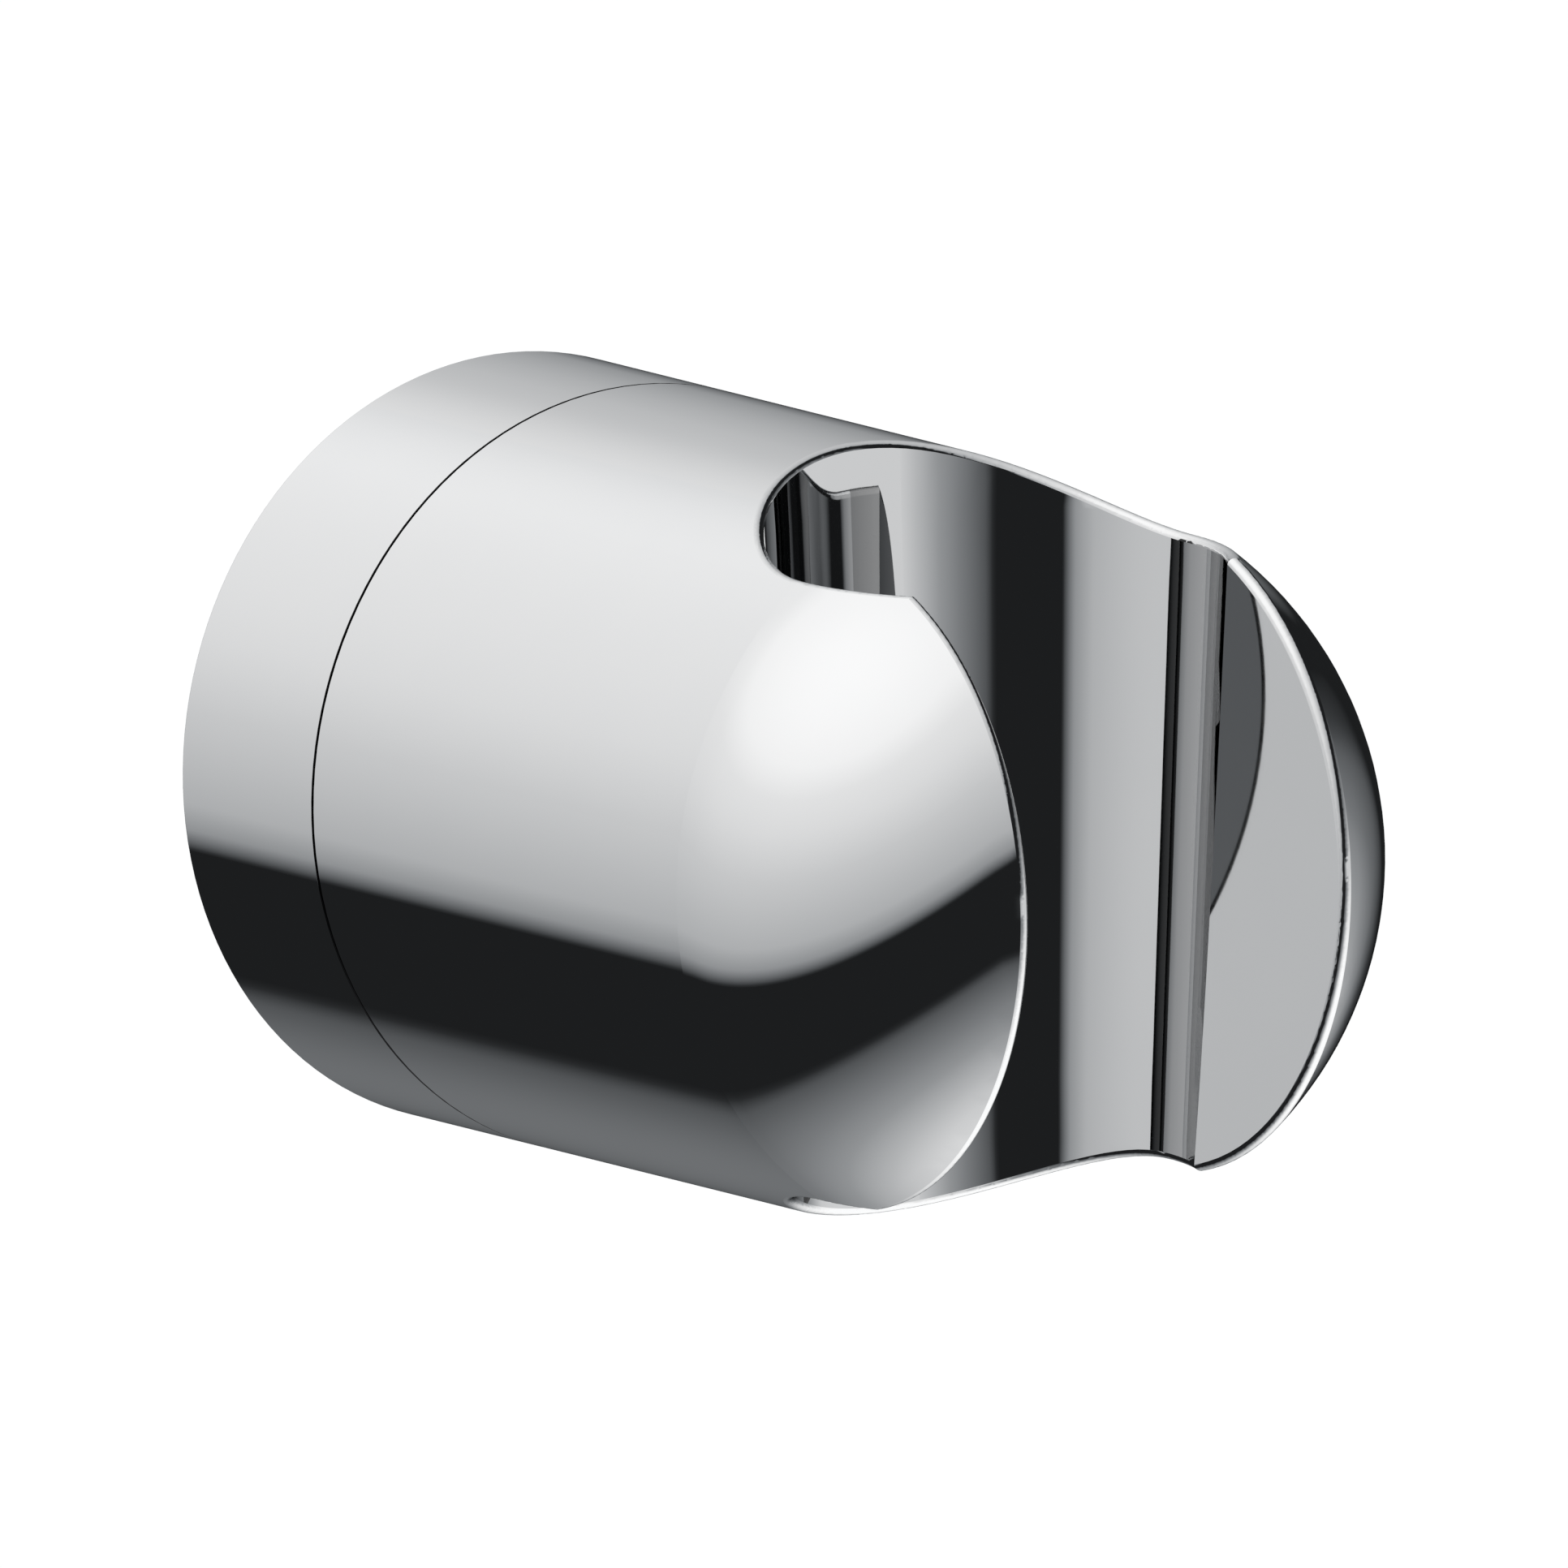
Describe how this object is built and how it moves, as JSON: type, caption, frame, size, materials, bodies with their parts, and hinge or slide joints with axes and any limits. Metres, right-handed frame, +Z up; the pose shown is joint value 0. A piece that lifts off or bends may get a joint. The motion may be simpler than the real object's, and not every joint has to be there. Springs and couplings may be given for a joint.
{
  "type": "hand shower holder",
  "caption": "Wall-mounted hand shower holder: a polished chrome cylinder with a domed, slotted front and an upright conical seat, swivelling on a fixed base ring.",
  "frame": {"origin": "centre of the base's back face, on the wall", "axes": "+Z up along the seat's axis, +Y into the wall, so the head points out along -Y; +X to the right for someone facing the wall"},
  "size_m": [0.04, 0.0618, 0.04],
  "materials": {
    "chrome": "polished",
    "steel": "satin",
    "bearing_plastic": "satin",
    "plate_plastic": "matte"
  },
  "bodies": {
    "wall_base": {"wall_plate": "plate_plastic", "base_ring": "chrome", "grub_screw": "steel", "slide_ring": "bearing_plastic", "pivot_bush": "bearing_plastic"},
    "holder_head": {"holder_body": "chrome", "pivot_screw": "steel", "disc_spring": "steel", "thrust_washer": "steel"}
  },
  "joints": [
    {"name": "head_swivel", "type": "hinge", "parent": "wall_base", "child": "holder_head", "pos_m": [0, 0, 0], "axis": [0, -1, 0], "range_deg": [-45, 45]}
  ]
}
